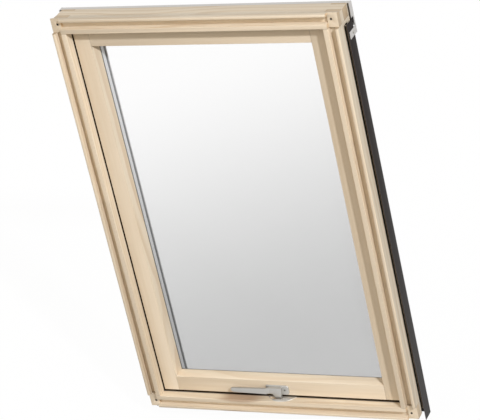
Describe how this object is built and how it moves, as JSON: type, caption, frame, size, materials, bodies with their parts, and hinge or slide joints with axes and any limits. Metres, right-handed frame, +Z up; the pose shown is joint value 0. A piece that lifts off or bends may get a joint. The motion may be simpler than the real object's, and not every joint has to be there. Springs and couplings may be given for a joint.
{
  "type": "roof window",
  "caption": "Centre-pivot pine roof window with double glazing, dark side covers, a silver head hood and a lever handle that latches on the sill.",
  "frame": {"origin": "middle of the four corner screw holes, on the corner seats of the frame's room side", "axes": "+X across the window, to the right as seen from the room; +Y out of the roof; +Z up the slope"},
  "size_m": [0.7972, 0.093, 1.207],
  "materials": {
    "pine": "clear matt lacquer",
    "glass": "clear",
    "spacer_metal": "mill",
    "sealant": "matt",
    "rubber_seal": "matt",
    "block_plastic": "moulded",
    "dark_cover": "satin dark grey",
    "hood_metal": "natural",
    "handle_metal": "satin anodised",
    "keeper_metal": "satin",
    "zinc_steel": "zinc plated"
  },
  "bodies": {
    "frame": {"frame_head": "pine", "frame_sill": "pine", "frame_jamb_left": "pine", "frame_jamb_right": "pine", "frame_seal": "rubber_seal", "head_hood": "hood_metal", "jamb_cover_left": "dark_cover", "jamb_cover_right": "dark_cover", "sill_cover": "dark_cover", "cover_screws": "zinc_steel", "pivot_plate_left": "zinc_steel", "pivot_plate_right": "zinc_steel", "pivot_plate_screws": "zinc_steel", "strike_plate": "keeper_metal"},
    "sash": {"sash_top_rail": "pine", "sash_bottom_rail": "pine", "sash_stile_left": "pine", "sash_stile_right": "pine", "glass_inner": "glass", "glass_outer": "glass", "spacer_bar": "spacer_metal", "edge_seal": "sealant", "gasket_inner": "rubber_seal", "gasket_outer": "rubber_seal", "setting_blocks": "block_plastic", "sash_cover_top": "dark_cover", "sash_cover_bottom": "dark_cover", "sash_cover_left": "dark_cover", "sash_cover_right": "dark_cover", "sash_pivot_left": "zinc_steel", "sash_pivot_right": "zinc_steel", "sash_pivot_screws": "zinc_steel", "handle_base": "handle_metal", "handle_base_screws": "zinc_steel"},
    "handle": {"handle_lever": "handle_metal", "handle_spindle": "zinc_steel"}
  },
  "joints": [
    {"name": "sash_pivot", "type": "hinge", "parent": "frame", "child": "sash", "pos_m": [0, 0.0425, 0], "axis": [1, 0, 0], "range_deg": [0, 150]},
    {"name": "handle_turn", "type": "hinge", "parent": "sash", "child": "handle", "pos_m": [-0.005, 0.009, -0.529], "axis": [0, 1, 0], "range_deg": [0, 90]}
  ]
}
